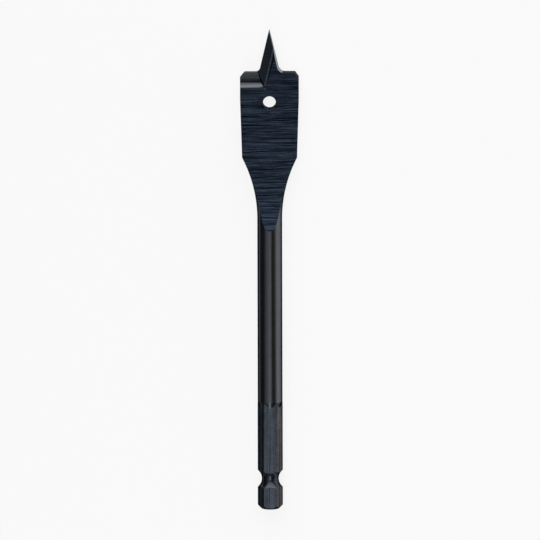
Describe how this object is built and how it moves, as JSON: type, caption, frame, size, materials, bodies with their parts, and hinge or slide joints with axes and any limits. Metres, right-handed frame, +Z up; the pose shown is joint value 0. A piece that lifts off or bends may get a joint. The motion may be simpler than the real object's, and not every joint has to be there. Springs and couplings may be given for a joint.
{
  "type": "spade drill bit",
  "caption": "Flat spade bit for boring wood: a hex quick-change drive, a round shank and a ground blade with cutting lips, a hole and a sharp centre point.",
  "frame": {"origin": "middle of the bounding box at the surface that the bit lies on", "axes": "+Y along the bit's axis, from the shank's end towards the tip; +Z up from that surface; +X level, across the blade, which is rolled about 15 degrees onto its edge at +X"},
  "size_m": [0.0172, 0.1416, 0.0072],
  "materials": {
    "blackened_steel": "blackened tool steel, with ground faces that show fine cross lines"
  },
  "bodies": {
    "root": {"spade_bit": "blackened_steel"}
  },
  "joints": []
}
